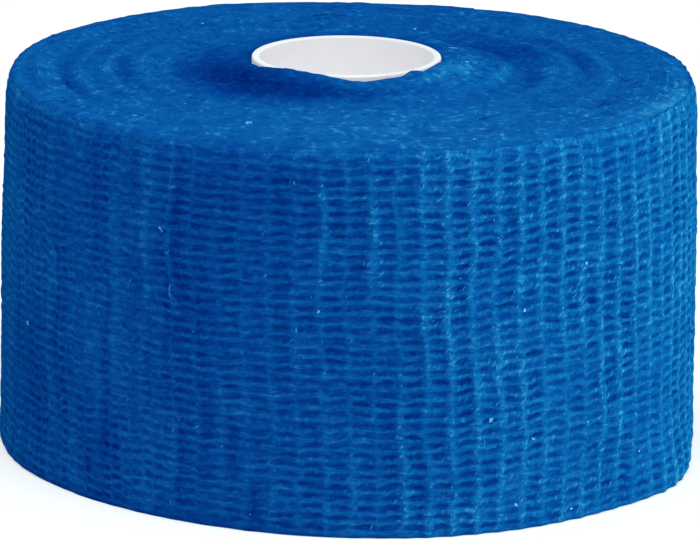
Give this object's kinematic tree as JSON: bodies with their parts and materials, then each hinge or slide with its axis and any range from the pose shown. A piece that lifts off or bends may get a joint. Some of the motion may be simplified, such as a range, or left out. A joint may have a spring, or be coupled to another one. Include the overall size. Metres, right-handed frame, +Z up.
{
  "type": "cohesive bandage roll",
  "caption": "Round roll of blue cohesive crepe bandage, wound on a short white tube and standing on its flat end.",
  "frame": {"origin": "middle of the flat end that the roll stands on, at the centre of the bounding box", "axes": "+Z up along the roll's axis, -Y towards the side shown in the picture, +X to its right"},
  "size_m": [0.093, 0.0933, 0.0529],
  "materials": {
    "bandage": "matte crepe weave with raised crossways ribs and short loose fibres",
    "core": "smooth satin white"
  },
  "bodies": {
    "root": {"bandage_roll": "bandage", "core_tube": "core"}
  },
  "joints": []
}
